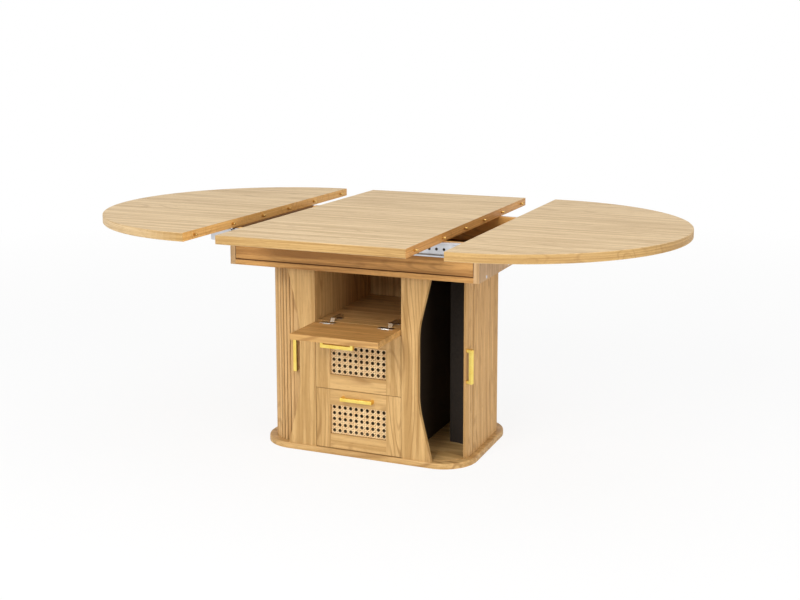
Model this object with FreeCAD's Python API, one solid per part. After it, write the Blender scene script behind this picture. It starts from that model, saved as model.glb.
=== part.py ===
# Extending dining table on a storage pedestal with tambour corner doors, drop flap and cane drawers
# Millimetres, +X along the table, front faces -Y, +Z up, origin at the floor under the centre
import math
import os

import FreeCAD
import Part

# Top
TOP_HEIGHT = 750.0
TOP_THICK = 27.0
TOP_RADIUS = 571.0
TOP_EASE = 1.5
LEAF_WIDTH = 604.0
OPEN_GAP = 112.0

# Locating pins between the leaf and the two halves
PIN_SHARES = (0.158, 0.5, 0.893)
PIN_DIA = 8.0
PIN_PROUD = 12.0
PIN_EMBED = 18.0
PIN_CLEAR = 0.35
PIN_CHAMFER = 1.5

# Apron box and boards
BOARD = 18.0
BOARD_EASE = 2.0
APRON_LENGTH = 840.0
APRON_DEPTH = 580.0
APRON_HEIGHT = 70.0
BATTEN_DROP = 40.0
BATTEN_CLEAR = 0.3
SCREW_ROWS = (-221.0, 0.0, 221.0)
SCREW_HEAD_DIA = 10.0
SCREW_HEAD = 3.0
SCREW_DIA = 6.0
SCREW_LENGTH = 50.0

# Telescopic slides of the top
SLIDE_HEIGHT = 45.0
SLIDE_LENGTH = 400.0
SLIDE_INNER_LENGTH = 74.0
SLIDE_SHEET = 1.2
SLIDE_DEPTH = 13.2
SLIDE_LIP = 4.5
SLIDE_GAP = 0.5
RACE = 2.1
RUN_GAP = 0.4
WEB_HOLE_DIA = 9.0
WEB_HOLES = (168.0, 191.0, 215.0)
WEB_SLOT = (120.0, 330.0)
WEB_SLOT_HEIGHT = 12.0
CLEAT_HEIGHT = 40.0
CLEAT_FLANGE = 25.0
CLEAT_SHEET = 2.0

# Pedestal
PLINTH_LENGTH = 724.0
PLINTH_DEPTH = 480.0
PLINTH_RADIUS = 114.0
PLINTH_THICK = 18.0
PLINTH_LIP = 5.4
PANEL = 16.0
END_ZONE = 213.7
BAY_SIDE_GAP = 1.5
PANEL_WIDTH = 98.9
PANEL_WAIST = 42.2
WAIST_LENGTH = 244.0
WAIST_BLEND_R = 300.0

# Tambour curtain: fixed end run and turning corner door
CURTAIN_INSET_X = 19.5
CURTAIN_INSET_Y = 23.5
CURTAIN_RADIUS = 98.0
SLAT_PITCH = 14.0
SLAT_THICK = 5.5
SLAT_CROWN = 2.5
SLAT_GAP = 2.0
BACKING = 2.0
DOOR_STEP = 2.0
DOOR_CLEAR = 0.6
DOOR_SWING = 87.0
DOOR_AJAR_ANGLE = 5.0
DOOR_LEAD_CLOSED = -111.0
LEAD_SPAN = 11.0
DOOR_SLATS = 13
FEATHER = 14.0
GROOVE_DEPTH = 5.0
GROOVE_CLEAR = 0.5
TONGUE_GAP = 0.3

# Drop flap and its shelf
SHELF_TOP = 431.0
FLAP_THICK = 18.0
FLAP_HEIGHT = 192.0
FLAP_EDGE_R = 4.0
HINGE_INSET = 48.3
CUP_DIA = 35.0
CUP_DEPTH = 12.5
CUP_SETBACK = 22.0
HINGE_SHEET = 1.5
HINGE_PIN_DIA = 4.0
HINGE_PIN_CLEAR = 0.3
HINGE_EYE_R = 5.5
KNUCKLE_SLOT = 18.0
NOTCH_DEPTH = 14.0
ARM_LENGTH = 60.0
ARM_HEIGHT = 8.0
ARM_SIDE_GAP = 2.0

# Drawers
DRAWER_BASES = (20.5, 216.0)
DRAWER_HEIGHT = 193.8
STILE = 50.0
TOP_RAIL = 50.0
BOTTOM_RAIL = 47.0
FRAME_THICK = 18.0
CANE_THICK = 3.0
CANE_TONGUE = 6.0
CANE_RECESS = 6.0
CANE_FIT = 0.1
CANE_PITCH = 19.2
CANE_HOLE = 9.6
BOX_BOARD = 12.0
BOX_DEPTH = 380.0
BOX_LOW = 20.0
BOX_HIGH = 150.0
BOX_BOTTOM = 5.0
BOX_FLOOR_UP = 6.0
RUNNER_HEIGHT = 35.0
RUNNER_THICK = 12.7
RUNNER_LENGTH = 350.0
RUNNER_LIP = 6.0

# Bow handles
HANDLE_LENGTH = 109.0
HANDLE_BAR = 11.0
HANDLE_DEPTH = 21.0
HANDLE_LEG = 9.0
HANDLE_SETBACK = 25.0
HANDLE_EDGE_R = 1.2

# Levels and planes worked out from the values above
UNDER_TOP = TOP_HEIGHT - TOP_THICK
APRON_TOP = UNDER_TOP - SLIDE_HEIGHT - 2 * SLIDE_GAP
APRON_LOW = APRON_TOP - APRON_HEIGHT
HALF_EDGE = LEAF_WIDTH / 2 + OPEN_GAP
APRON_X = APRON_LENGTH / 2
APRON_Y = APRON_DEPTH / 2
SLIDE_BACK_Y = APRON_Y - SLIDE_DEPTH - 0.3
SLIDE_Z = UNDER_TOP - SLIDE_GAP - SLIDE_HEIGHT / 2
SLIDE_START = 2.0
SLIDE_TRAVEL = HALF_EDGE
SLIDE_END = SLIDE_START + SLIDE_TRAVEL + SLIDE_INNER_LENGTH
BAY_X = PLINTH_LENGTH / 2 - END_ZONE
FRONT_Y = PLINTH_LIP - PLINTH_DEPTH / 2
CURTAIN_X = PLINTH_LENGTH / 2 - CURTAIN_INSET_X
CURTAIN_Y = PLINTH_DEPTH / 2 - CURTAIN_INSET_Y
PANEL_END_X = BAY_X + PANEL_WIDTH
PANEL_WAIST_X = PANEL_END_X - PANEL_WAIST
PANEL_BACK_Y = FRONT_Y + PANEL
BACK_INNER_Y = CURTAIN_Y - PANEL
CORNER_X = CURTAIN_X - CURTAIN_RADIUS
CORNER_Y = CURTAIN_Y - CURTAIN_RADIUS
DOOR_CREST = CURTAIN_RADIUS - DOOR_STEP
SLAT_ANGLE = math.degrees(SLAT_PITCH / DOOR_CREST)
FLAP_PIVOT_Y = FRONT_Y + FLAP_THICK / 2
FLAP_PIVOT_Z = SHELF_TOP - FLAP_THICK / 2
FLAP_ROOT_Y = FLAP_PIVOT_Y + FLAP_THICK / 2
FLAP_FREE_Y = FLAP_ROOT_Y - FLAP_HEIGHT
FLAP_X = BAY_X - BAY_SIDE_GAP
FLAP_SWEEP = (FLAP_THICK / 2 - FLAP_EDGE_R) * math.sqrt(2) + FLAP_EDGE_R
SHELF_FRONT_Y = FLAP_PIVOT_Y + FLAP_SWEEP + 0.5
HINGE_X = BAY_X - HINGE_INSET
BOX_X = BAY_X - RUNNER_THICK

Vec = FreeCAD.Vector
Z_AXIS = Vec(0, 0, 1)


def box(x0, x1, y0, y1, z0, z1):
    return Part.makeBox(x1 - x0, y1 - y0, z1 - z0, Vec(x0, y0, z0))


def rod(radius, length, base, axis):
    return Part.makeCylinder(radius, length, Vec(*base), Vec(*axis))


def flip_x(shape):
    return shape.mirror(Vec(0, 0, 0), Vec(1, 0, 0))


def flip_y(shape):
    return shape.mirror(Vec(0, 0, 0), Vec(0, 1, 0))


def prism(points, direction):
    """Solid from a closed polygon of points, pushed along a direction."""
    wire = Part.makePolygon([Vec(*p) for p in points + points[:1]])
    return Part.Face(wire).extrude(Vec(*direction))


def polar(centre, radius, degrees, z=0.0):
    turn = math.radians(degrees)
    return Vec(centre[0] + radius * math.cos(turn), centre[1] + radius * math.sin(turn), z)


def sector(centre, r_in, r_out, a0, a1, z0, z1):
    """Ring sector standing between two levels."""
    angles = (a0, (a0 + a1) / 2, a1)
    inner = [polar(centre, r_in, a, z0) for a in angles]
    outer = [polar(centre, r_out, a, z0) for a in angles]
    edges = [
        Part.Arc(inner[0], inner[1], inner[2]).toShape(),
        Part.makeLine(inner[2], outer[2]),
        Part.Arc(outer[2], outer[1], outer[0]).toShape(),
        Part.makeLine(outer[0], inner[0]),
    ]
    return Part.Face(Part.Wire(edges)).extrude(Vec(0, 0, z1 - z0))


def slat(back0, back_mid, back1, side1, crest, side0, height):
    """One curtain slat: flat or hollow back, two short sides and a crowned face."""
    if back_mid is None:
        back = Part.makeLine(back0, back1)
    else:
        back = Part.Arc(back0, back_mid, back1).toShape()
    edges = [
        back,
        Part.makeLine(back1, side1),
        Part.Arc(side1, crest, side0).toShape(),
        Part.makeLine(side0, back0),
    ]
    return Part.Face(Part.Wire(edges)).extrude(Vec(0, 0, height))


def arc_slats(centre, r_crest, start, step, count, z0, z1):
    """Row of slats round a corner."""
    r_back = r_crest - SLAT_THICK
    r_side = r_crest - SLAT_CROWN
    trim = math.degrees(SLAT_GAP / 2 / r_crest)
    row = []
    for i in range(count):
        a0 = start + i * step + trim
        a1 = start + (i + 1) * step - trim
        mid = (a0 + a1) / 2
        back = [polar(centre, r_back, a, z0) for a in (a0, mid, a1)]
        crest = polar(centre, r_crest, mid, z0)
        side0 = polar(centre, r_side, a0, z0)
        side1 = polar(centre, r_side, a1, z0)
        row.append(slat(back[0], back[1], back[2], side1, crest, side0, z1 - z0))
    return row


def flat_slats(x_crest, y0, y1, z0, z1):
    """Row of slats along a straight run facing +X."""
    count = max(1, round((y1 - y0) / SLAT_PITCH))
    step = (y1 - y0) / count
    x_back = x_crest - SLAT_THICK
    x_side = x_crest - SLAT_CROWN
    row = []
    for i in range(count):
        a = y0 + i * step + SLAT_GAP / 2
        b = y0 + (i + 1) * step - SLAT_GAP / 2
        crest = Vec(x_crest, (a + b) / 2, z0)
        side0 = Vec(x_side, a, z0)
        side1 = Vec(x_side, b, z0)
        row.append(slat(Vec(x_back, a, z0), None, Vec(x_back, b, z0), side1, crest, side0, z1 - z0))
    return row


def bow_handle():
    """Square bar along X, held off a face at y = 0 by a leg at each end, with eased edges."""
    half = HANDLE_LENGTH / 2
    high = HANDLE_BAR / 2
    bow = box(-half, half, -HANDLE_DEPTH, 0, -high, high)
    eased = [e for e in bow.Edges if e.BoundBox.YMax < 0.01 - HANDLE_DEPTH]
    bow = bow.makeFillet(HANDLE_EDGE_R, eased)
    clear = half - HANDLE_LEG
    return bow.cut(box(-clear, clear, HANDLE_BAR - HANDLE_DEPTH, 1, -high - 1, high + 1))


def turned(shapes, angle):
    """Copies of shapes turned about the upright axis of the front right corner."""
    copies = [s.copy() for s in shapes]
    for s in copies:
        s.rotate(Vec(CORNER_X, -CORNER_Y, 0), Z_AXIS, angle)
    return copies


def export(shapes):
    os.makedirs("parts", exist_ok=True)
    for name, shape in shapes.items():
        if isinstance(shape, list):
            shape = Part.makeCompound(shape)
        shape.exportStep("parts/" + name + ".step")


parts = {}

# Pin rows along both signs of Y
pin_y = [side * share * TOP_RADIUS for side in (-1, 1) for share in PIN_SHARES]
pin_z = TOP_HEIGHT - TOP_THICK / 2


def pins(x_edge):
    row = []
    for y in pin_y:
        pin = rod(PIN_DIA / 2, PIN_EMBED + PIN_PROUD, (x_edge - PIN_EMBED, y, pin_z), (1, 0, 0))
        tip = [e for e in pin.Edges if e.BoundBox.XMin > x_edge + PIN_PROUD - 0.01]
        row.append(pin.makeChamfer(PIN_CHAMFER, tip))
    return row


def pin_holes(x_edge):
    return [rod(PIN_DIA / 2, PIN_EMBED, (x_edge - PIN_EMBED, y, pin_z), (1, 0, 0)) for y in pin_y]


def pin_sockets(x_edge):
    return [rod(PIN_DIA / 2 + PIN_CLEAR, PIN_PROUD + 2, (x_edge, y, pin_z), (1, 0, 0)) for y in pin_y]


# Half tops: half discs with eased rims
rim = [polar((HALF_EDGE, 0), TOP_RADIUS, a, UNDER_TOP) for a in (-90, 0, 90)]
half_wire = Part.Wire([Part.Arc(rim[0], rim[1], rim[2]).toShape(), Part.makeLine(rim[2], rim[0])])
half_disc = Part.Face(half_wire).extrude(Vec(0, 0, TOP_THICK))
rim_edges = [e for e in half_disc.Edges if e.BoundBox.XLength > TOP_RADIUS / 2]
half_disc = half_disc.makeChamfer(TOP_EASE, rim_edges)
parts["half_top_right"] = half_disc.cut(pin_sockets(HALF_EDGE))
parts["half_top_left"] = flip_x(half_disc).cut(pin_holes(-HALF_EDGE))
parts["half_pins_left"] = pins(-HALF_EDGE)

# Centre leaf
leaf = box(-LEAF_WIDTH / 2, LEAF_WIDTH / 2, -TOP_RADIUS, TOP_RADIUS, UNDER_TOP, TOP_HEIGHT)
leaf_ends = [e for e in leaf.Edges if e.BoundBox.XLength > LEAF_WIDTH / 2]
leaf = leaf.makeChamfer(TOP_EASE, leaf_ends)
leaf = leaf.cut(pin_sockets(-LEAF_WIDTH / 2))
parts["centre_leaf"] = leaf.cut(pin_holes(LEAF_WIDTH / 2))
parts["leaf_pins"] = pins(LEAF_WIDTH / 2)

# Telescopic slides, drawn for the front right and mirrored to the other three places
half_h = SLIDE_HEIGHT / 2
sheet = SLIDE_SHEET
lip = SLIDE_DEPTH - 0.8
mid_h = half_h - sheet - RACE
in_h = mid_h - sheet - RACE - RUN_GAP
mid_0 = sheet + RUN_GAP
mid_1 = lip - sheet - RUN_GAP
in_0 = mid_0 + sheet + RUN_GAP


def slide_run(profile, x0, length):
    """Push a (depth, height) profile along X, depth running from the batten towards the front."""
    points = [(x0, -SLIDE_BACK_Y - w, SLIDE_Z + z) for w, z in profile]
    return prism(points, (length, 0, 0))


def mirrored(upper):
    """Close a profile drawn from the middle upwards with its mirror image below."""
    return upper + [(w, -z) for w, z in reversed(upper)]


outer_profile = mirrored([
    (sheet, half_h - sheet), (lip - sheet, half_h - sheet), (lip - sheet, half_h - SLIDE_LIP),
    (lip, half_h - SLIDE_LIP), (lip, half_h), (0, half_h)])
middle_profile = mirrored([
    (mid_0 + sheet, mid_h - sheet), (mid_1, mid_h - sheet), (mid_1, mid_h), (mid_0, mid_h)])
inner_profile = mirrored([
    (SLIDE_DEPTH - sheet, in_h - sheet), (in_0, in_h - sheet), (in_0, in_h), (SLIDE_DEPTH, in_h)])

outer = slide_run(outer_profile, SLIDE_START, SLIDE_LENGTH)
slot_0, slot_1 = [SLIDE_START + x for x in WEB_SLOT]
slot_low = SLIDE_Z - WEB_SLOT_HEIGHT / 2
slot_high = SLIDE_Z + WEB_SLOT_HEIGHT / 2
web_y = -SLIDE_BACK_Y - sheet
outer = outer.cut(box(slot_0, slot_1, web_y - 0.1, -SLIDE_BACK_Y + 1, slot_low, slot_high))
middle_x = SLIDE_END - SLIDE_LENGTH
middle = slide_run(middle_profile, middle_x, SLIDE_LENGTH)
for offset in WEB_HOLES:
    hole_at = (middle_x + offset, -SLIDE_BACK_Y, SLIDE_Z)
    middle = middle.cut(rod(WEB_HOLE_DIA / 2, SLIDE_DEPTH, hole_at, (0, -1, 0)))
inner = slide_run(inner_profile, SLIDE_START + SLIDE_TRAVEL, SLIDE_INNER_LENGTH)
parts["slide_outers"] = [outer, flip_y(outer), flip_x(outer), flip_x(flip_y(outer))]
parts["slide_middles_right"] = [middle, flip_y(middle)]
parts["slide_middles_left"] = [flip_x(middle), flip_x(flip_y(middle))]
parts["slide_inners_right"] = [inner, flip_y(inner)]
parts["slide_inners_left"] = [flip_x(inner), flip_x(flip_y(inner))]

# Angle cleats that hang from the half tops and take the inner slide members
cleat_y = -SLIDE_BACK_Y - SLIDE_DEPTH
cleat_x = HALF_EDGE + SLIDE_START
cleat_low = UNDER_TOP - CLEAT_HEIGHT
cleat_fold = UNDER_TOP - CLEAT_SHEET
cleat_face = cleat_y - CLEAT_SHEET
cleat_outline = [
    (cleat_y, cleat_low), (cleat_y, UNDER_TOP), (cleat_y - CLEAT_FLANGE, UNDER_TOP),
    (cleat_y - CLEAT_FLANGE, cleat_fold), (cleat_face, cleat_fold), (cleat_face, cleat_low)]
cleat = prism([(cleat_x, y, z) for y, z in cleat_outline], (SLIDE_INNER_LENGTH, 0, 0))
parts["cleats_right"] = [cleat, flip_y(cleat)]
parts["cleats_left"] = [flip_x(cleat), flip_x(flip_y(cleat))]

# Apron box: full depth sides, bottom between them, front and back boards standing on the bottom
inside_x = APRON_X - BOARD
screw_z = APRON_LOW + BOARD / 2
screw_holes = []
screws = []
for y in SCREW_ROWS:
    head_at = (APRON_X - SCREW_HEAD, y, screw_z)
    tip_at = (APRON_X - SCREW_LENGTH, y, screw_z)
    head = rod(SCREW_HEAD_DIA / 2, SCREW_HEAD, head_at, (1, 0, 0))
    shank = rod(SCREW_DIA / 2, SCREW_LENGTH, tip_at, (1, 0, 0))
    screw = head.fuse(shank).removeSplitter()
    screws.append(screw)
    screw_holes.append(screw)
parts["apron_screws"] = screws + [flip_x(s) for s in screws]
side = box(inside_x, APRON_X, -APRON_Y, APRON_Y, APRON_LOW, APRON_TOP).cut(screw_holes)
parts["apron_side_right"] = side
parts["apron_side_left"] = flip_x(side)
apron_front = box(-inside_x, inside_x, -APRON_Y, -APRON_Y + BOARD, APRON_LOW + BOARD, APRON_TOP)
face_edges = [e for e in apron_front.Edges if e.BoundBox.YMax < -APRON_Y + 0.01]
eased = [e for e in face_edges if e.BoundBox.ZMin < APRON_TOP - 0.01]
apron_front = apron_front.makeChamfer(BOARD_EASE, eased)
parts["apron_front"] = apron_front
parts["apron_back"] = flip_y(apron_front)

# Battens rebated over the apron boards: they carry the fixed slide members and the leaf
batten_top = UNDER_TOP - BATTEN_CLEAR
batten = box(-inside_x, inside_x, -SLIDE_BACK_Y, -SLIDE_BACK_Y + BOARD, APRON_TOP - BATTEN_DROP, batten_top)
batten = batten.cut(box(-inside_x, inside_x, -APRON_Y, -APRON_Y + BOARD, APRON_TOP - BATTEN_DROP, APRON_TOP))
parts["slide_batten_front"] = batten
parts["slide_batten_back"] = flip_y(batten)

# Door grooves shared by the plinth and the apron bottom
centre_right = (CORNER_X, -CORNER_Y)
door_tail = DOOR_LEAD_CLOSED + LEAD_SPAN + DOOR_SLATS * SLAT_ANGLE
groove_in = DOOR_CREST - SLAT_THICK - BACKING - GROOVE_CLEAR
groove_out = DOOR_CREST + GROOVE_CLEAR
groove_a0 = DOOR_LEAD_CLOSED - 2
groove_a1 = door_tail + DOOR_SWING + 2


def grooves(z0, z1):
    groove = sector(centre_right, groove_in, groove_out, groove_a0, groove_a1, z0, z1)
    return [groove, flip_x(groove)]


apron_bottom = box(-inside_x, inside_x, -APRON_Y, APRON_Y, APRON_LOW, APRON_LOW + BOARD)
upper_edges = [e for e in apron_bottom.Edges if e.BoundBox.ZMin > APRON_LOW + 0.01]
apron_bottom = apron_bottom.makeChamfer(BOARD_EASE, [e for e in upper_edges if e.BoundBox.XLength > inside_x])
apron_bottom = apron_bottom.cut(screw_holes + [flip_x(h) for h in screw_holes])
parts["apron_bottom"] = apron_bottom.cut(grooves(APRON_LOW - 1, APRON_LOW + GROOVE_DEPTH))

# Plinth: rounded board with a rounded rim
plinth = box(-PLINTH_LENGTH / 2, PLINTH_LENGTH / 2, -PLINTH_DEPTH / 2, PLINTH_DEPTH / 2, 0, PLINTH_THICK)
plinth_corners = [e for e in plinth.Edges if e.BoundBox.ZLength > PLINTH_THICK / 2]
plinth = plinth.makeFillet(PLINTH_RADIUS, plinth_corners)
plinth_rim = [e for e in plinth.Edges if e.BoundBox.ZMin > PLINTH_THICK / 2]
plinth = plinth.makeFillet(PLINTH_THICK / 4, plinth_rim)
parts["plinth"] = plinth.cut(grooves(PLINTH_THICK - GROOVE_DEPTH, PLINTH_THICK + 1))

# Uprights, back and shelf of the centre bay
divider = box(BAY_X, BAY_X + PANEL, PANEL_BACK_Y, BACK_INNER_Y, PLINTH_THICK, APRON_LOW)
parts["divider_right"] = divider
parts["divider_left"] = flip_x(divider)
parts["back_panel"] = box(-CORNER_X, CORNER_X, BACK_INNER_Y, CURTAIN_Y, PLINTH_THICK, APRON_LOW)
shelf = box(-BAY_X, BAY_X, SHELF_FRONT_Y, BACK_INNER_Y, SHELF_TOP - FLAP_THICK, SHELF_TOP)
half_slot = KNUCKLE_SLOT / 2
flap_low = SHELF_TOP - FLAP_THICK
notch_y = SHELF_FRONT_Y + NOTCH_DEPTH
for x in (-HINGE_X, HINGE_X):
    notch = box(x - half_slot, x + half_slot, SHELF_FRONT_Y - 1, notch_y, flap_low - 1, SHELF_TOP + 1)
    shelf = shelf.cut(notch)
parts["bay_shelf"] = shelf

# Waisted front panels beside the bay
z_mid = (PLINTH_THICK + APRON_LOW) / 2
z_low = z_mid - WAIST_LENGTH / 2
z_high = z_mid + WAIST_LENGTH / 2
outline = [
    (BAY_X, PLINTH_THICK), (PANEL_END_X, PLINTH_THICK), (PANEL_WAIST_X, z_low),
    (PANEL_WAIST_X, z_high), (PANEL_END_X, APRON_LOW), (BAY_X, APRON_LOW)]
panel = prism([(x, PANEL_BACK_Y, z) for x, z in outline], (0, -PANEL, 0))
cross_edges = [e for e in panel.Edges if e.BoundBox.YLength > PANEL / 2]
waist_edges = [e for e in cross_edges if abs(e.BoundBox.XMin - PANEL_WAIST_X) < 0.01]
panel = panel.makeFillet(WAIST_BLEND_R, waist_edges)
parts["front_panel_right"] = panel
parts["front_panel_left"] = flip_x(panel)

# Fixed end run of the curtain: straight end and back corner, relieved where the door passes behind it
swing = rod(DOOR_CREST + DOOR_CLEAR, APRON_LOW, (CORNER_X, -CORNER_Y, 0), (0, 0, 1))
centre_back = (CORNER_X, CORNER_Y)
back_count = max(1, round(math.radians(90) * CURTAIN_RADIUS / SLAT_PITCH))
end_slats = flat_slats(CURTAIN_X, -CORNER_Y + FEATHER, CORNER_Y, PLINTH_THICK, APRON_LOW)
end_slats = [s.cut(swing) for s in end_slats]
end_slats += arc_slats(centre_back, CURTAIN_RADIUS, 0, 90 / back_count, back_count, PLINTH_THICK, APRON_LOW)
back_face = CURTAIN_X - SLAT_THICK
end_start = -CORNER_Y + FEATHER
end_backing = box(back_face - BACKING, back_face, end_start, CORNER_Y, PLINTH_THICK, APRON_LOW).cut(swing)
r_back = CURTAIN_RADIUS - SLAT_THICK
end_corner = sector(centre_back, r_back - BACKING, r_back, 0, 90, PLINTH_THICK, APRON_LOW)
end_backing = end_backing.fuse(end_corner).removeSplitter()
parts["end_slats_right"] = end_slats
parts["end_slats_left"] = [flip_x(s) for s in end_slats]
parts["end_backing_right"] = end_backing
parts["end_backing_left"] = flip_x(end_backing)

# Corner doors: slats on a backing, a solid lead rail and a handle, drawn closed on the right
door_z0 = PLINTH_THICK - GROOVE_DEPTH + TONGUE_GAP
door_z1 = APRON_LOW + GROOVE_DEPTH - TONGUE_GAP
lead_end = DOOR_LEAD_CLOSED + LEAD_SPAN
door_slats = arc_slats(centre_right, DOOR_CREST, lead_end, SLAT_ANGLE, DOOR_SLATS, door_z0, door_z1)
door_r = DOOR_CREST - SLAT_THICK
door_backing = sector(centre_right, door_r - BACKING, door_r, lead_end, door_tail, door_z0, door_z1)
lead_stop = lead_end - math.degrees(SLAT_GAP / 2 / DOOR_CREST)
door_lead = sector(centre_right, door_r - BACKING, DOOR_CREST, DOOR_LEAD_CLOSED, lead_stop, door_z0, door_z1)
grip_angle = DOOR_LEAD_CLOSED + LEAD_SPAN / 2
grip = bow_handle()
grip.rotate(Vec(0, 0, 0), Vec(0, 1, 0), -90)
grip.rotate(Vec(0, 0, 0), Z_AXIS, grip_angle + 90)
grip.translate(polar(centre_right, DOOR_CREST, grip_angle, z_mid))
door = {"slats": door_slats, "backing": [door_backing], "lead": [door_lead], "handle": [grip]}
for name, shapes in door.items():
    parts["door_" + name + "_left"] = [flip_x(s) for s in turned(shapes, DOOR_AJAR_ANGLE)]
    parts["door_" + name + "_right"] = turned(shapes, DOOR_SWING)

# Drop flap, drawn open and level with the shelf
flap = box(-FLAP_X, FLAP_X, FLAP_FREE_Y, FLAP_ROOT_Y, flap_low, SHELF_TOP)
long_edges = [e for e in flap.Edges if e.BoundBox.XLength > FLAP_X]
flap = flap.makeFillet(FLAP_EDGE_R, [e for e in long_edges if e.BoundBox.YMin > FLAP_ROOT_Y - 0.01])
cups = []
arms = []
cup_y = FLAP_ROOT_Y - CUP_SETBACK
cup_low = SHELF_TOP - CUP_DEPTH
arm_end = notch_y + ARM_LENGTH
plate_top = SHELF_TOP + HINGE_SHEET
arm_top = SHELF_TOP + ARM_HEIGHT
eye_low = FLAP_PIVOT_Z - HINGE_EYE_R
eye_high = FLAP_PIVOT_Z + HINGE_EYE_R
half_arm = half_slot - ARM_SIDE_GAP
arm_profile = [
    (FLAP_PIVOT_Y, eye_low), (notch_y - 3, eye_low), (notch_y - 3, plate_top), (arm_end, plate_top),
    (arm_end, arm_top), (notch_y - 3, arm_top), (notch_y - 11, eye_high), (FLAP_PIVOT_Y, eye_high)]
for x in (-HINGE_X, HINGE_X):
    slot = box(x - half_slot, x + half_slot, cup_y - 2, FLAP_ROOT_Y + 1, flap_low - 1, SHELF_TOP + 3)
    pin_at = (x - KNUCKLE_SLOT, FLAP_PIVOT_Y, FLAP_PIVOT_Z)
    pin = rod(HINGE_PIN_DIA / 2, 2 * KNUCKLE_SLOT, pin_at, (1, 0, 0))
    cup = rod(CUP_DIA / 2, CUP_DEPTH, (x, cup_y, cup_low), (0, 0, 1))
    flap = flap.cut([cup, slot, pin])
    flange = box(x - 25, x + 25, cup_y - 10, cup_y + 10, SHELF_TOP, plate_top)
    cups.append(cup.fuse(flange).removeSplitter().cut([slot, pin]))
    cups.append(pin)
    arm = prism([(x - half_arm, y, z) for y, z in arm_profile], (2 * half_arm, 0, 0))
    eye_at = (x - half_arm, FLAP_PIVOT_Y, FLAP_PIVOT_Z)
    arm = arm.fuse(rod(HINGE_EYE_R, 2 * half_arm, eye_at, (1, 0, 0)))
    arm = arm.cut(rod(HINGE_PIN_DIA / 2 + HINGE_PIN_CLEAR, 2 * KNUCKLE_SLOT, pin_at, (1, 0, 0)))
    plate = box(x - 20, x + 20, notch_y + 20, notch_y + 40, SHELF_TOP, plate_top)
    arms.append(arm.fuse(plate).removeSplitter())
parts["flap_door"] = flap
parts["flap_hinge_cups"] = cups
parts["flap_hinge_arms"] = arms
flap_handle = bow_handle()
flap_handle.rotate(Vec(0, 0, 0), Vec(1, 0, 0), 90)
flap_handle.translate(Vec(0, FLAP_FREE_Y + HANDLE_SETBACK, flap_low))
parts["flap_handle"] = flap_handle

# Drawers: grooved stile and rail fronts with cane, board boxes and side runners
front_x = BAY_X - BAY_SIDE_GAP
frame_back = FRONT_Y + FRAME_THICK
window_x = front_x - STILE
box_back = frame_back + BOX_DEPTH
runners_fixed = []


def ring(points, y):
    """Closed wire through (x, z) points in the plane of one y."""
    corners = [Vec(x, y, z) for x, z in points]
    return Part.Wire(Part.makePolygon(corners + corners[:1]))


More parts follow.
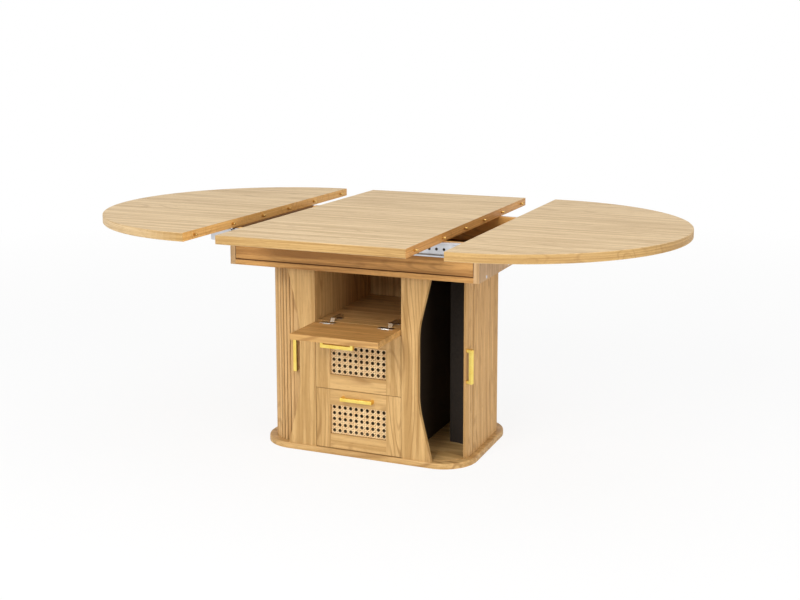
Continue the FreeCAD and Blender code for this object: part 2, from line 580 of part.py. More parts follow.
for label, z0 in zip(("lower", "upper"), DRAWER_BASES):
    z1 = z0 + DRAWER_HEIGHT
    win_0 = z0 + BOTTOM_RAIL
    win_1 = z1 - TOP_RAIL
    cane_y = FRONT_Y + CANE_RECESS
    cane_back = cane_y + CANE_THICK
    reach = CANE_TONGUE + CANE_FIT
    slot_x = window_x + reach
    slot = box(-slot_x, slot_x, cane_y - CANE_FIT, cane_back + CANE_FIT, win_0 - reach, win_1 + reach)
    stile = box(window_x, front_x, FRONT_Y, frame_back, z0, z1).cut(slot)
    parts[label + "_front_stiles"] = [stile, flip_x(stile)]
    rails = []
    for rail_low, rail_high in ((z0, win_0), (win_1, z1)):
        rails.append(box(-window_x, window_x, FRONT_Y, frame_back, rail_low, rail_high).cut(slot))
    parts[label + "_front_rails"] = rails
    columns = max(1, round(2 * window_x / CANE_PITCH))
    rows = max(1, round((win_1 - win_0) / CANE_PITCH))
    pitch_x = 2 * window_x / columns
    pitch_z = (win_1 - win_0) / rows
    half_w = window_x + CANE_TONGUE
    cane_0 = win_0 - CANE_TONGUE
    cane_1 = win_1 + CANE_TONGUE
    corners = [(-half_w, cane_0), (half_w, cane_0), (half_w, cane_1), (-half_w, cane_1)]
    wires = [ring(corners, cane_back)]
    hole_r = CANE_HOLE / 2
    for i in range(columns):
        for j in range(rows):
            hole_x = -window_x + (i + 0.5) * pitch_x
            hole_z = win_0 + (j + 0.5) * pitch_z
            turns = [math.radians(22.5 + 45 * k) for k in range(8)]
            hole = [(hole_x + hole_r * math.cos(t), hole_z + hole_r * math.sin(t)) for t in turns]
            wires.append(ring(hole, cane_back))
    cane = Part.makeFace(wires, "Part::FaceMakerBullseye")
    parts[label + "_cane"] = cane.extrude(Vec(0, -CANE_THICK, 0))
    low = z0 + BOX_LOW
    high = z0 + BOX_HIGH
    wall = box(BOX_X - BOX_BOARD, BOX_X, frame_back, box_back, low, high)
    parts[label + "_box_sides"] = [wall, flip_x(wall)]
    in_x = BOX_X - BOX_BOARD
    parts[label + "_box_back"] = box(-in_x, in_x, box_back - BOX_BOARD, box_back, low, high)
    floor = low + BOX_FLOOR_UP
    floor_end = box_back - BOX_BOARD
    parts[label + "_box_bottom"] = box(-in_x, in_x, frame_back, floor_end, floor, floor + BOX_BOTTOM)
    handle = bow_handle()
    handle.translate(Vec(0, FRONT_Y, z1 - HANDLE_SETBACK))
    parts[label + "_handle"] = handle
    run_z = (low + high) / 2
    run_h = RUNNER_HEIGHT / 2
    run_y = frame_back + 3
    bar_h = run_h - sheet - RACE
    bar_x = BAY_X - sheet - RUN_GAP
    lip_x = BAY_X - RUNNER_LIP
    fixed = mirrored([
        (BAY_X - sheet, run_h - sheet), (lip_x, run_h - sheet), (lip_x, run_h), (BAY_X, run_h)])
    moving = mirrored([
        (BOX_X + sheet, bar_h - sheet), (bar_x, bar_h - sheet), (bar_x, bar_h), (BOX_X, bar_h)])
    track = prism([(x, run_y, run_z + z) for x, z in fixed], (0, RUNNER_LENGTH, 0))
    carriage = prism([(x, run_y, run_z + z) for x, z in moving], (0, RUNNER_LENGTH, 0))
    runners_fixed += [track, flip_x(track)]
    parts[label + "_runners"] = [carriage, flip_x(carriage)]
parts["drawer_runners_fixed"] = runners_fixed

export(parts)
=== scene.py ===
# Extending oak dining table: materials, cane weave, slide ball cages, cross rails, light and camera
# Metres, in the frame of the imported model: +X along the table, front faces -Y, +Z up
import math

import bmesh
import bpy
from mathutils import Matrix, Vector


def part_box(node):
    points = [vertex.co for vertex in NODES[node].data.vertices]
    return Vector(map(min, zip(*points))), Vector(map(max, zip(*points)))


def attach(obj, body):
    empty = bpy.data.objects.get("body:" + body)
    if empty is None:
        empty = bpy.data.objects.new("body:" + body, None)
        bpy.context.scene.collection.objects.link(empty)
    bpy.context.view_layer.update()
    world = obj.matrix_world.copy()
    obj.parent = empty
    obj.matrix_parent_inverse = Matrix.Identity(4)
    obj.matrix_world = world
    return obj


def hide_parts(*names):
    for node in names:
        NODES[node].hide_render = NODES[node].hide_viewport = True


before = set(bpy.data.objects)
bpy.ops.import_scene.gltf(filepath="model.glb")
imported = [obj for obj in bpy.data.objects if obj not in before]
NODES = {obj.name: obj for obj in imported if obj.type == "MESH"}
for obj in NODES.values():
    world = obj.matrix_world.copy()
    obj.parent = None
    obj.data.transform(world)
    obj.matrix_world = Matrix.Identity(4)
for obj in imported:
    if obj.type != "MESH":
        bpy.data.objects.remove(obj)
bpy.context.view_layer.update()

# Camera for an image of 800 by 600: turn and pitch in degrees, lens in millimetres
CAMERA_PLACE = (1.5116, -3.5058, 1.3163)
CAMERA_TURN = 22.19
CAMERA_PITCH = 8.0
CAMERA_LENS = 52.94
CAMERA_SHIFT = (-0.0123, -0.1181)

# Square lamps: place, side and power in watts, all turned to one point; world light on the object
LAMP_AIM = (0.0, 0.0, 0.45)
LAMPS = {
    "key": ((-0.6, -4.3, 2.9), 2.4, 135),
    "fill": ((3.6, -2.0, 1.5), 2.2, 52),
    "overhead": ((0.3, 0.6, 3.6), 3.2, 22),
}
WORLD_LIGHT, WORLD_SEEN = 0.5, 1.0

# Floor: side, drop under the plinth, tones, cloud size, and the distances and shares of its own glow
FLOOR_SIDE, FLOOR_DROP = 600, 0.0005
FLOOR_TONES = ((0.93, 0.93, 0.93), (0.95, 0.95, 0.95))
FLOOR_CLOUD, FLOOR_ROUGH = 0.6, 0.9
GLOW_RANGE, GLOW_SHARE = (1.2, 5.0), (0.86, 1.0)

# Oak tones: light and dark figure, growth line, pore
TOP_TONES = ((0.78, 0.57, 0.315), (0.58, 0.395, 0.19), (0.38, 0.225, 0.09), (0.29, 0.16, 0.06))
BAND_TONES = ((0.60, 0.38, 0.145), (0.42, 0.24, 0.078), (0.28, 0.14, 0.038), (0.21, 0.10, 0.025))
SAWN_TONES = ((0.78, 0.41, 0.125), (0.55, 0.255, 0.062), (0.36, 0.15, 0.034), (0.26, 0.10, 0.022))
# Lit copy of the sawn tones: painted light on the left half's sawn end, which the leaf shades, and on the
# slide battens
LIT_SAWN_TONES = ((0.92, 0.54, 0.18), (0.76, 0.40, 0.11), (0.50, 0.24, 0.06), (0.38, 0.17, 0.04))
APRON_TONES = ((0.61, 0.325, 0.102), (0.37, 0.173, 0.045), (0.19, 0.08, 0.02), (0.13, 0.052, 0.013))
APRON_SIDE_TONES = ((0.60, 0.395, 0.205), (0.47, 0.29, 0.135), (0.34, 0.195, 0.08), (0.26, 0.14, 0.055))
# Dark tones of the cross rails: painted shade for the rails seen down the gaps beside the leaf
RAIL_SHADE_TONES = ((0.20, 0.085, 0.016), (0.14, 0.056, 0.01), (0.09, 0.034, 0.006), (0.07, 0.025, 0.005))
CABINET_TONES = ((0.67, 0.43, 0.178), (0.49, 0.29, 0.103), (0.33, 0.17, 0.052), (0.25, 0.12, 0.035))
FLAP_TONES = ((0.66, 0.385, 0.135), (0.48, 0.26, 0.08), (0.34, 0.165, 0.045), (0.26, 0.12, 0.035))
SLAT_TONES = ((0.70, 0.445, 0.195), (0.55, 0.325, 0.125), (0.40, 0.22, 0.075), (0.31, 0.16, 0.055))
BOARD_TONES = ((0.60, 0.47, 0.31), (0.53, 0.40, 0.25), (0.44, 0.32, 0.19), (0.38, 0.27, 0.16))
# Nearly black painted shade, laid on divider faces towards the compartments and on the outer faces of the
# slide battens
PAINTED_SHADE_TONE = (0.030, 0.020, 0.013)

# Oak grain: size along and across, noise detail, roughness and distortion, and the edges of each mask
FIGURE_SIZE, FIGURE_NOISE, FIGURE_EDGES = (0.50, 0.015), (4.0, 0.6, 0.25), (0.40, 0.58)
RING_SIZE, RING_NOISE, RING_EDGES, RING_COUNT = (0.62, 0.10), (1.0, 0.4, 0.3), (0.45, 1.0), 13.0
FADE_SIZE, FADE_EDGES = (0.4, 0.05), (0.4, 0.62)
PORE_SIZE, PORE_NOISE, PORE_EDGES, PORE_SHARE = (0.028, 0.0011), (2.0, 0.55), (0.55, 0.72), 0.42
RIM_SIZES, RIM_NOISE, RIM_EDGES = (0.30, 0.30, 0.0035), (3.0, 0.55), (0.36, 0.62)

# Oak faces: steepness of a rim, its painted light where it turns to -X, a sawn end, a face with painted shade
# and an eased joint with painted shade; grooves with painted shade; gloss
SIDE_EDGES, LIT_RIM_EDGES, SAWN_EDGES = (0.8, 0.5), (-0.02, -0.26), (0.9, 0.97)
SHADED_SIDE_EDGES, JOINT_SHADE_EDGES = (0.5, 0.8), (0.92, 0.8)
GROOVE_REACH, GROOVE_SHADE, GROOVE_SAMPLES, GROOVE_EDGES = 0.007, 0.85, 8, (0.45, 0.85)
OAK_ROUGH, OAK_SPECULAR, OAK_BUMP, RING_DEPTH = (0.48, 0.62), 0.3, (0.12, 0.0004), -0.5

# Share of growth lines and the seeds that set each board's own figure
TOP_RINGS, APRON_RINGS, CABINET_RINGS, BOARD_RINGS = 0.35, 0.3, 0.7, 0.2
TOP_SEED, TOP_SEED_STEP, NODE_SEED_STEP, UPRIGHT_SEED, BOARD_SEED_STEP = 3.1, 1.7, 1.9, 0.4, 0.8
SEED_SPREAD, SEED_CYCLE = (1.37, 2.91, 0.73), (7, 5, 3)

# Metals: polished and worn tone; brushed line length and width, cloud size and mask edges
GOLD = ((0.96, 0.74, 0.19), (0.91, 0.64, 0.13))
BRASS = ((0.62, 0.40, 0.13), (0.48, 0.28, 0.08))
ZINC = ((0.69, 0.70, 0.73), (0.57, 0.58, 0.61))
NICKEL = ((0.74, 0.72, 0.69), (0.6, 0.58, 0.55))
GOLD_ROUGH, ZINC_ROUGH, NICKEL_ROUGH = (0.22, 0.36), (0.26, 0.42), (0.16, 0.3)
BRUSH_SIZE, BRUSH_NOISE, BRUSH_EDGES, BRUSH_BUMP = (0.05, 0.0004), (3.0, 0.6), (0.3, 0.7), (0.06, 0.0002)
WORN_SIZE, WORN_EDGES = 0.03, (0.35, 0.7)

# Cane material: light, dark and spot tone, fibre and patch size, mask edges
CANE_LIGHT, CANE_DARK, CANE_SPOT = (0.92, 0.68, 0.38), (0.82, 0.55, 0.27), (0.46, 0.25, 0.09)
FIBRE_SIZE, FIBRE_NOISE, FIBRE_EDGES, CANE_ROUGH = 0.0012, (3.0, 0.6), (0.3, 0.7), (0.34, 0.5)
PATCH_SIZE, PATCH_EDGES, SPOT_EDGES, SPOT_SHARE = 0.018, (0.35, 0.65), (0.5, 0.75), 0.35
CANE_BUMP = (0.15, 0.0002)

# Backing cloth: dark and light thread, thread width and length, mask edges
CLOTH_TONES = ((0.018, 0.013, 0.009), (0.042, 0.030, 0.021))
THREAD_WIDTH, THREAD_LENGTH, THREAD_EDGES = 0.0008, 0.006, (0.15, 0.35)
CLOTH_ROUGH, CLOTH_BUMP = 0.9, (0.3, 0.0004)

# Cane weave: hole pitch, strand section, half the spacing of a pair, and the lift of each crossing
CANE_PITCH = 0.0192
STRAND_WIDTH, STRAND_THICK, STRAND_FLAT = 0.0032, 0.0008, 0.6
PAIR_HALF = CANE_PITCH / 8
PAIR_LIFT, DIAGONAL_LIFT = 0.00045, 0.00088
STRAND_STEP = 0.0024

# Ball cages of the top's slides: place in the middle member, comb pitch and sheet, rail and rib shares, balls
CAGE_RISE, CAGE_SETBACK, CAGE_WIDTH = 0.00245, 0.0006, 0.0062
CAGE_PITCH, CAGE_SHEET, CAGE_END = 0.005, 0.0007, 0.008
CAGE_RAIL, CAGE_RIB = CAGE_WIDTH * 0.22, CAGE_PITCH * 0.2
BALL_RADIUS, BALL_EVERY, BALL_FIRST = 0.0010, 3, 1

# Cross rails that close the ends of the slide battens, dark with painted shade: round of their edges, room
# beside the slides, seed
RAIL_ROUND, RAIL_ROUND_STEPS, RAIL_ROUND_SHAPE = 0.001, 2, 0.5
RAIL_ROOM, RAIL_SEED = 0.0005, 2.3


def material(name):
    """A new node material and its tree, shader and object coordinates."""
    made = bpy.data.materials.new(name)
    made.use_nodes = True
    tree = made.node_tree
    shader = tree.nodes["Principled BSDF"]
    place = tree.nodes.new("ShaderNodeTexCoord").outputs["Object"]
    return made, tree, shader, place


def link(tree, a, b):
    tree.links.new(a, b)


def stretched(tree, place, sizes, offset=(0, 0, 0)):
    """Coordinates divided by a size along each axis, so that a unit noise has that grain."""
    node = tree.nodes.new("ShaderNodeMapping")
    node.inputs["Location"].default_value = offset
    node.inputs["Scale"].default_value = [1 / s for s in sizes]
    link(tree, place, node.inputs["Vector"])
    return node.outputs["Vector"]


def noise(tree, vector, detail=2.0, roughness=0.5, distortion=0.0):
    node = tree.nodes.new("ShaderNodeTexNoise")
    node.inputs["Scale"].default_value = 1.0
    node.inputs["Detail"].default_value = detail
    node.inputs["Roughness"].default_value = roughness
    node.inputs["Distortion"].default_value = distortion
    link(tree, vector, node.inputs["Vector"])
    return node.outputs["Fac"]


def ramp(tree, value, edges, results=(0.0, 1.0)):
    """Value carried from one range into another and held at its ends."""
    node = tree.nodes.new("ShaderNodeMapRange")
    for socket, number in zip(("From Min", "From Max", "To Min", "To Max"), (*edges, *results)):
        node.inputs[socket].default_value = number
    link(tree, value, node.inputs["Value"])
    return node.outputs["Result"]


def math_node(tree, operation, a, b=None):
    node = tree.nodes.new("ShaderNodeMath")
    node.operation = operation
    for socket, value in zip(node.inputs, (a, b)):
        if value is None:
            continue
        if isinstance(value, (int, float)):
            socket.default_value = value
        else:
            link(tree, value, socket)
    return node.outputs[0]


def mixed(tree, factor, a, b):
    """Colour between a and b; each is a colour or a socket."""
    node = tree.nodes.new("ShaderNodeMix")
    node.data_type = "RGBA"
    link(tree, factor, node.inputs["Factor"])
    for socket, value in ((node.inputs[6], a), (node.inputs[7], b)):
        if isinstance(value, tuple):
            socket.default_value = (*value, 1.0)
        else:
            link(tree, value, socket)
    return node.outputs[2]


def bump(tree, shader, height, strength, distance):
    node = tree.nodes.new("ShaderNodeBump")
    node.inputs["Strength"].default_value = strength
    node.inputs["Distance"].default_value = distance
    link(tree, height, node.inputs["Height"])
    link(tree, node.outputs["Normal"], shader.inputs["Normal"])


def seen_directly(tree):
    """1 for rays that reach the eye straight, in a reflection or through glass, 0 for light."""
    path = tree.nodes.new("ShaderNodeLightPath")
    seen = math_node(tree, "MAXIMUM", path.outputs["Is Camera Ray"], path.outputs["Is Glossy Ray"])
    return math_node(tree, "MAXIMUM", seen, path.outputs["Is Transmission Ray"])


def along(axis, length, across):
    """Sizes with the grain's length on one axis and its width on the others."""
    return [length if k == "XYZ".index(axis) else across for k in range(3)]


class Oak:
    """Oak in the making: grain along one axis, and the colour laid on it so far."""

    def __init__(self, name, tones, axis, seed, rings):
        self.made, self.tree, self.shader, self.place = material(name)
        self.tones, self.rings = tones, rings
        self.offset = [seed * spread % cycle for spread, cycle in zip(SEED_SPREAD, SEED_CYCLE)]
        figure = self.grain(along(axis, *FIGURE_SIZE), FIGURE_NOISE)
        phase = self.calc("MULTIPLY", self.grain(along(axis, *RING_SIZE), RING_NOISE), RING_COUNT * math.tau)
        growth = ramp(self.tree, self.calc("SINE", phase), RING_EDGES)
        fade = ramp(self.tree, self.grain(along(axis, *FADE_SIZE)), FADE_EDGES)
        self.growth = self.calc("MULTIPLY", growth, fade)
        self.pores = ramp(self.tree, self.grain(along(axis, *PORE_SIZE), PORE_NOISE), PORE_EDGES)
        self.colour = self.toned(tones, ramp(self.tree, figure, FIGURE_EDGES))

    def grain(self, sizes, settings=()):
        return noise(self.tree, stretched(self.tree, self.place, sizes, self.offset), *settings)

    def calc(self, operation, a, b=None):
        return math_node(self.tree, operation, a, b)

    def toned(self, tones, streak):
        """Colour of one set of tones with this oak's growth lines and pores."""
        light, dark, line, pore = tones
        body = mixed(self.tree, streak, light, dark)
        body = mixed(self.tree, self.calc("MULTIPLY", self.growth, self.rings), body, line)
        return mixed(self.tree, self.calc("MULTIPLY", self.pores, PORE_SHARE), body, pore)

    def lay(self, mask, colour):
        self.colour = mixed(self.tree, mask, self.colour, colour)

    def facing(self):
        """The face's own direction, as X, Y and Z sockets."""
        geometry = self.tree.nodes.new("ShaderNodeNewGeometry")
        split = self.tree.nodes.new("ShaderNodeSeparateXYZ")
        link(self.tree, geometry.outputs["True Normal"], split.inputs[0])
        return split.outputs

    def band_edges(self, tones, sawn_side, sawn_tones):
        """Rim tones along the rim, with painted light (the lighter top tones) where it turns to -X, and sawn
        tones on the straight ends.

        Sawn ends look along sawn_side times X, or along X both ways when it is 0.
        """
        facing = self.facing()
        streak = ramp(self.tree, self.grain(RIM_SIZES, RIM_NOISE), RIM_EDGES)
        side = ramp(self.tree, self.calc("ABSOLUTE", facing["Z"]), SIDE_EDGES)
        self.lay(side, self.toned(tones, streak))
        # Painted light: the lighter top tones laid on rims that turn to -X
        lit_rim = self.calc("MULTIPLY", side, ramp(self.tree, facing["X"], LIT_RIM_EDGES))
        self.lay(lit_rim, self.toned(self.tones, streak))
        if sawn_side:
            across = self.calc("MULTIPLY", facing["X"], sawn_side)
        else:
            across = self.calc("ABSOLUTE", facing["X"])
        self.lay(ramp(self.tree, across, SAWN_EDGES), self.toned(sawn_tones, streak))

    def paint_side_shade(self, axis, sign):
        """Painted shade, nearly black, on the faces that look along one axis, to the side of sign."""
        turned = self.calc("MULTIPLY", self.facing()[axis], sign)
        self.lay(ramp(self.tree, turned, SHADED_SIDE_EDGES), PAINTED_SHADE_TONE)

    def shade_grooves(self):
        """Painted shade, in the pore tone, in the hollows between slats."""
        shade = self.tree.nodes.new("ShaderNodeAmbientOcclusion")
        shade.only_local = True
        shade.samples = GROOVE_SAMPLES
        shade.inputs["Distance"].default_value = GROOVE_REACH
        self.lay(ramp(self.tree, shade.outputs["AO"], GROOVE_EDGES, (GROOVE_SHADE, 0.0)), self.tones[3])

    def paint_joint_shade(self):
        """Painted shade, in the pore tone, on eased edges, which look along no axis."""
        facing = self.facing()
        x, y, z = [self.calc("ABSOLUTE", facing[k]) for k in "XYZ"]
        square = self.calc("MAXIMUM", self.calc("MAXIMUM", x, y), z)
        self.lay(ramp(self.tree, square, JOINT_SHADE_EDGES), self.tones[3])

    def finish(self):
        link(self.tree, self.colour, self.shader.inputs["Base Color"])
        link(self.tree, ramp(self.tree, self.pores, (0.0, 1.0), OAK_ROUGH), self.shader.inputs["Roughness"])
        self.shader.inputs["Specular IOR Level"].default_value = OAK_SPECULAR
        height = self.calc("SUBTRACT", self.calc("MULTIPLY", self.growth, RING_DEPTH), self.pores)
        bump(self.tree, self.shader, height, *OAK_BUMP)
        return self.made


def metal(name, tones, axis, rough=GOLD_ROUGH):
    """Brushed metal: fine lines along one axis vary its roughness and bump, a cloud its tone."""
    made, tree, shader, place = material(name)
    lines = noise(tree, stretched(tree, place, along(axis, *BRUSH_SIZE)), *BRUSH_NOISE)
    cloud = noise(tree, stretched(tree, place, [WORN_SIZE] * 3, (1, 2, 3)))
    link(tree, mixed(tree, ramp(tree, cloud, WORN_EDGES), *tones), shader.inputs["Base Color"])
    shader.inputs["Metallic"].default_value = 1.0
    link(tree, ramp(tree, lines, BRUSH_EDGES, rough), shader.inputs["Roughness"])
    bump(tree, shader, lines, *BRUSH_BUMP)
    return made


def cane_material(name):
    """Split rattan: pale, glossy, with fibre lines and darker nodes here and there."""
    made, tree, shader, place = material(name)
    fibre = noise(tree, stretched(tree, place, [FIBRE_SIZE] * 3), *FIBRE_NOISE)
    patch = noise(tree, stretched(tree, place, [PATCH_SIZE] * 3, (4, 1, 2)))
    body = mixed(tree, ramp(tree, patch, PATCH_EDGES), CANE_LIGHT, CANE_DARK)
    spots = math_node(tree, "MULTIPLY", ramp(tree, fibre, SPOT_EDGES), SPOT_SHARE)
    link(tree, mixed(tree, spots, body, CANE_SPOT), shader.inputs["Base Color"])
    link(tree, ramp(tree, fibre, FIBRE_EDGES, CANE_ROUGH), shader.inputs["Roughness"])
    bump(tree, shader, fibre, *CANE_BUMP)
    return made


def canvas_material(name):
    """Dark backing cloth of the tambour, with a fine weave."""
    made, tree, shader, place = material(name)
    warp = noise(tree, stretched(tree, place, along("Z", THREAD_LENGTH, THREAD_WIDTH)))
    weft = noise(tree, stretched(tree, place, along("Z", THREAD_WIDTH, THREAD_LENGTH), (3, 3, 3)))
    weave_height = math_node(tree, "MULTIPLY", warp, weft)
    tone = mixed(tree, ramp(tree, weave_height, THREAD_EDGES), *CLOTH_TONES)
    link(tree, tone, shader.inputs["Base Color"])
    shader.inputs["Roughness"].default_value = CLOTH_ROUGH
    bump(tree, shader, weave_height, *CLOTH_BUMP)
    return made


def dress(names, made):
    """One material on every slot of these CAD nodes."""
    for name in names:
        slots = NODES[name].data.materials
        slots.clear()
        slots.append(made)


# Tops: their sawn side along X, 0 for both, and its tones
TOPS = {
    # The left half's sawn end gets the lit copy of the sawn tones: painted light
    "half_top_left": (1, LIT_SAWN_TONES),
    "centre_leaf": (0, SAWN_TONES),
    "half_top_right": (-1, SAWN_TONES),
}
for number, (node, sawn) in enumerate(TOPS.items()):
    wood = Oak("oak_" + node, TOP_TONES, "X", TOP_SEED + TOP_SEED_STEP * number, TOP_RINGS)
    wood.band_edges(BAND_TONES, *sawn)
    dress([node], wood.finish())

# Other oak nodes with the axis that their grain follows
GRAIN = {
    "X": ["apron_bottom", "apron_front", "apron_back", "slide_batten_front", "slide_batten_back", "plinth",
          "bay_shelf", "flap_door", "upper_front_rails", "lower_front_rails"],
    "Z": ["apron_side_left", "apron_side_right", "divider_left", "divider_right", "back_panel",
          "front_panel_left", "front_panel_right", "upper_front_stiles", "lower_front_stiles",
          "end_slats_left", "end_slats_right", "door_slats_left", "door_slats_right",
          "door_lead_left", "door_lead_right"],
}
# Slide battens take the lit copy of the sawn tones: painted light
TONES_OF = {"apron": APRON_TONES, "slide": LIT_SAWN_TONES, "end": SLAT_TONES, "door": SLAT_TONES,
            "flap": FLAP_TONES}
# Faces with painted shade: each node's axis and the side it looks to
SHADED_SIDES = {"divider_left": ("X", -1), "divider_right": ("X", 1),
         "slide_batten_front": ("Y", -1), "slide_batten_back": ("Y", 1)}
for axis, names in GRAIN.items():
    for number, node in enumerate(names):
        family = node.split("_")[0]
        tones = APRON_SIDE_TONES if node.startswith("apron_side") else TONES_OF.get(family, CABINET_TONES)
        seed = NODE_SEED_STEP * number + (UPRIGHT_SEED if axis == "Z" else 0.0)
        wood = Oak("oak_" + node, tones, axis, seed, APRON_RINGS if family == "apron" else CABINET_RINGS)
        if node in SHADED_SIDES:
            wood.paint_side_shade(*SHADED_SIDES[node])
        # Painted shade in the grooves between the slats
        if "slats" in node:
            wood.shade_grooves()
        # Painted shade on the eased edges of the apron boards
        if family == "apron":
            wood.paint_joint_shade()
        dress([node], wood.finish())

# Drawer boxes
for number, node in enumerate([n for n in NODES if "_box_" in n]):
    wood = Oak("board_" + node, BOARD_TONES, "Y", BOARD_SEED_STEP * number, BOARD_RINGS)
    dress([node], wood.finish())

# Metal, cloth and cane nodes
dress(["flap_handle", "upper_handle", "lower_handle"], metal("gold_X", GOLD, "X"))
dress(["door_handle_left", "door_handle_right"], metal("gold_Z", GOLD, "Z"))
dress(["half_pins_left", "leaf_pins"], metal("brass_pins", BRASS, "X"))
zinc = metal("zinc_steel", ZINC, "X", ZINC_ROUGH)
STEEL = ("slide_outers", "slide_inners", "slide_middles", "cleats", "apron_screws")
dress([n for n in NODES if n.startswith(STEEL) or "runners" in n], zinc)
dress(["flap_hinge_arms", "flap_hinge_cups"], metal("nickel_hinge", NICKEL, "Y", NICKEL_ROUGH))
dress([n for n in NODES if "backing" in n], canvas_material("canvas_backing"))
cane = cane_material("cane")
dress(["upper_cane", "lower_cane"], cane)


def joined(name, mesh_tool, made, body, smooth=True):
    """An object from a bmesh, dressed in one material and riding on a body."""
    mesh = bpy.data.meshes.new(name)
    mesh_tool.to_mesh(mesh)
    mesh_tool.free()
    piece = bpy.data.objects.new(name, mesh)
    bpy.context.scene.collection.objects.link(piece)
    mesh.materials.append(made)
    for face in mesh.polygons:
        face.use_smooth = smooth
    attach(piece, body)
    return piece


def strand(tool, points, side):
    """A closed flat ribbon with a crowned section along points; side is its width's direction."""
    half, flat, thick = STRAND_WIDTH / 2, STRAND_WIDTH / 2 * STRAND_FLAT, STRAND_THICK / 2
    section = ((-half, 0.0), (-flat, -thick), (flat, -thick), (half, 0.0), (flat, thick), (-flat, thick))
    rings = [[tool.verts.new(p + side * u + Vector((0, v, 0))) for u, v in section] for p in points]
    for a, b in zip(rings, rings[1:]):
        for k in range(len(section)):
            n = (k + 1) % len(section)
            tool.faces.new((a[k], a[n], b[n], b[k]))
    tool.faces.new(rings[0][::-1])
    tool.faces.new(rings[-1])


def woven(s, marks, first):
    """Lift of a strand that goes over and under at marks, starting with the sign of first."""
    if s <= marks[0]:
        return first * PAIR_LIFT
    for k, (a, b) in enumerate(zip(marks, marks[1:])):
        if s <= b:
            return first * (-1) ** k * PAIR_LIFT * math.cos(math.pi * (s - a) / (b - a))
    return first * (-1) ** (len(marks) - 1) * PAIR_LIFT


def steps(a, b):
    """Even stations from a to b, about a strand step apart."""
    count = max(2, round((b - a) / STRAND_STEP))
    return [a + (b - a) * k / count for k in range(count + 1)]


def weave(name, node, body):
    """Cane sheet with octagonal holes: upright pairs, level pairs and two runs of diagonals."""
    low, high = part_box(node)
    middle = (low + high) / 2
    half_x, half_z = (high.x - low.x) / 2, (high.z - low.z) / 2
    columns = int(half_x / CANE_PITCH)
    rows = int(half_z / CANE_PITCH + 0.5)
    uprights = sorted(c * CANE_PITCH + s * PAIR_HALF for c in range(-columns, columns + 1) for s in (-1, 1))
    levels = sorted((r + 0.5) * CANE_PITCH + s * PAIR_HALF for r in range(-rows, rows) for s in (-1, 1))
    uprights = [x for x in uprights if abs(x) < half_x - STRAND_WIDTH / 2]
    levels = [z for z in levels if abs(z) < half_z - STRAND_WIDTH / 2]
    tool = bmesh.new()
    along_x, along_z = Vector((1, 0, 0)), Vector((0, 0, 1))
    for k, x in enumerate(uprights):
        line = [middle + Vector((x, woven(z, levels, (-1) ** k), z)) for z in steps(-half_z, half_z)]
        strand(tool, line, along_x)
    for k, z in enumerate(levels):
        line = [middle + Vector((x, woven(x, uprights, -((-1) ** k)), z)) for x in steps(-half_x, half_x)]
        strand(tool, line, along_z)
    reach = int((half_x + half_z) / CANE_PITCH)
    for slope in (1, -1):
        for n in range(-reach, reach + 1):
            start, end = sorted((slope * (n * CANE_PITCH - half_z), slope * (n * CANE_PITCH + half_z)))
            start, end = max(start, -half_x), min(end, half_x)
            if end - start < STRAND_WIDTH * 2:
                continue
            line = []
            for x in steps(start, end):
                lift = -slope * DIAGONAL_LIFT * math.cos(math.tau * x / CANE_PITCH)
                line.append(middle + Vector((x, lift, n * CANE_PITCH - slope * x)))
            strand(tool, line, Vector((slope, 0, 1)).normalized())
    bmesh.ops.recalc_face_normals(tool, faces=tool.faces)
    piece = joined(name, tool, cane, body)
    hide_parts(node)


weave("upper_cane_weave", "upper_cane", "upper_drawer")
weave("lower_cane_weave", "lower_cane", "lower_drawer")


def bar(tool, x0, x1, y0, y1, z0, z1):
    """A closed flat bar between two corners."""
    corners = [tool.verts.new((x, y, z)) for x in (x0, x1) for y in (y0, y1) for z in (z0, z1)]
    for face in ((0, 1, 3, 2), (4, 6, 7, 5), (0, 4, 5, 1), (2, 3, 7, 6), (0, 2, 6, 4), (1, 5, 7, 3)):
        tool.faces.new([corners[k] for k in face])


def cage_comb(tool, x0, x1, y0, y1, level):
    """One retainer: two rails, the ribs between them and the balls, at one level."""
    z0, z1 = level - CAGE_SHEET / 2, level + CAGE_SHEET / 2
    count = int((x1 - x0) / CAGE_PITCH)
    bar(tool, x0, x0 + count * CAGE_PITCH, y0, y0 + CAGE_RAIL, z0, z1)
    bar(tool, x0, x0 + count * CAGE_PITCH, y1 - CAGE_RAIL, y1, z0, z1)
    for k in range(count):
        x = x0 + (k + 0.5) * CAGE_PITCH
        bar(tool, x - CAGE_RIB, x + CAGE_RIB, y0 + CAGE_RAIL, y1 - CAGE_RAIL, z0, z1)
        if k % BALL_EVERY == BALL_FIRST:
            ball = bmesh.ops.create_icosphere(tool, subdivisions=2, radius=BALL_RADIUS)["verts"]
            bmesh.ops.translate(tool, verts=ball, vec=(x + CAGE_PITCH / 2, (y0 + y1) / 2, level))


def ball_cage(name, node, body):
    """Retainers in the two races between the middle and the inner member of each slide."""
    low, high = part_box(node)
    tool = bmesh.new()
    outer = max(abs(low.y), abs(high.y)) - CAGE_SETBACK
    for side in (-1, 1):
        y0, y1 = sorted((side * (outer - CAGE_WIDTH), side * outer))
        for level in (low.z + CAGE_RISE, high.z - CAGE_RISE):
            cage_comb(tool, low.x + CAGE_END, high.x - CAGE_END, y0, y1, level)
    bmesh.ops.recalc_face_normals(tool, faces=tool.faces)
    joined(name, tool, zinc, body)


ball_cage("slide_cages_left", "slide_middles_left", "left_middles")
ball_cage("slide_cages_right", "slide_middles_right", "right_middles")


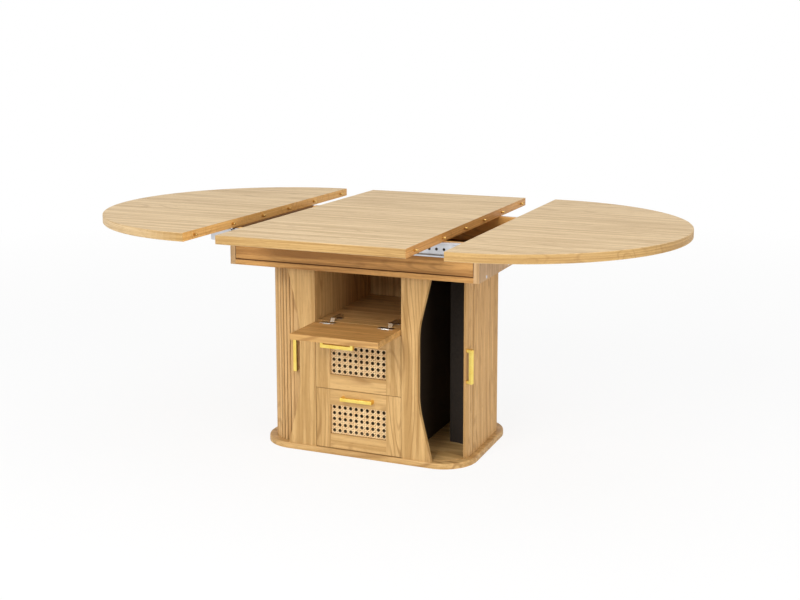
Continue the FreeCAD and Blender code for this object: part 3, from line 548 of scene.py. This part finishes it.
def cross_rail(name, side, made):
    """Board on an apron side, as high as the battens, with rounded edges and flat faces."""
    low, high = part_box(side)
    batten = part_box("slide_batten_back")[1]
    reach = batten.y - RAIL_ROOM
    tool = bmesh.new()
    bar(tool, low.x, high.x, -reach, reach, high.z, batten.z)
    bmesh.ops.recalc_face_normals(tool, faces=tool.faces)
    bmesh.ops.bevel(tool, geom=tool.edges[:], affect="EDGES", offset=RAIL_ROUND,
                    segments=RAIL_ROUND_STEPS, profile=RAIL_ROUND_SHAPE)
    joined(name, tool, made, "pedestal", smooth=False)


# Whole rails in dark tones: painted shade
shaded_rail_oak = Oak("oak_cross_rails", RAIL_SHADE_TONES, "Y", RAIL_SEED, APRON_RINGS).finish()
cross_rail("cross_rail_left", "apron_side_left", shaded_rail_oak)
cross_rail("cross_rail_right", "apron_side_right", shaded_rail_oak)


def floor_material():
    """Pale studio floor: white to the eye, with the object's soft shadow kept."""
    made, tree, shader, place = material("studio_floor")
    cloud = noise(tree, stretched(tree, place, [FLOOR_CLOUD] * 3))
    link(tree, mixed(tree, cloud, *FLOOR_TONES), shader.inputs["Base Color"])
    shader.inputs["Roughness"].default_value = FLOOR_ROUGH
    shader.inputs["Specular IOR Level"].default_value = 0.0
    glow = tree.nodes.new("ShaderNodeEmission")
    blend = tree.nodes.new("ShaderNodeMixShader")
    reach = tree.nodes.new("ShaderNodeVectorMath")
    reach.operation = "LENGTH"
    link(tree, place, reach.inputs[0])
    share = ramp(tree, reach.outputs["Value"], GLOW_RANGE, GLOW_SHARE)
    link(tree, math_node(tree, "MULTIPLY", seen_directly(tree), share), blend.inputs["Fac"])
    link(tree, shader.outputs[0], blend.inputs[1])
    link(tree, glow.outputs[0], blend.inputs[2])
    link(tree, blend.outputs[0], tree.nodes["Material Output"].inputs["Surface"])
    return made


bpy.ops.mesh.primitive_plane_add(size=FLOOR_SIDE, location=(0, 0, -FLOOR_DROP))
floor = bpy.context.object
floor.name = "studio_floor"
floor.data.materials.append(floor_material())

for name, (place, side, power) in LAMPS.items():
    light = bpy.data.lights.new(name, "AREA")
    light.size, light.energy = side, power
    lamp = bpy.data.objects.new(name, light)
    lamp.location = place
    lamp.rotation_euler = (Vector(LAMP_AIM) - Vector(place)).to_track_quat("-Z", "Y").to_euler()
    bpy.context.scene.collection.objects.link(lamp)

world = bpy.data.worlds.new("studio")
bpy.context.scene.world = world
world.use_nodes = True
backdrop = world.node_tree.nodes["Background"]
backdrop.inputs["Color"].default_value = (1.0, 1.0, 1.0, 1.0)
strength = ramp(world.node_tree, seen_directly(world.node_tree), (0.0, 1.0), (WORLD_LIGHT, WORLD_SEEN))
link(world.node_tree, strength, backdrop.inputs["Strength"])

lens = bpy.data.cameras.new("camera")
lens.lens = CAMERA_LENS
lens.shift_x, lens.shift_y = CAMERA_SHIFT
camera = bpy.data.objects.new("camera", lens)
camera.location = CAMERA_PLACE
camera.rotation_euler = (math.radians(90 - CAMERA_PITCH), 0, math.radians(CAMERA_TURN))
bpy.context.scene.collection.objects.link(camera)
bpy.context.scene.camera = camera
bpy.context.scene.view_settings.view_transform = "Standard"
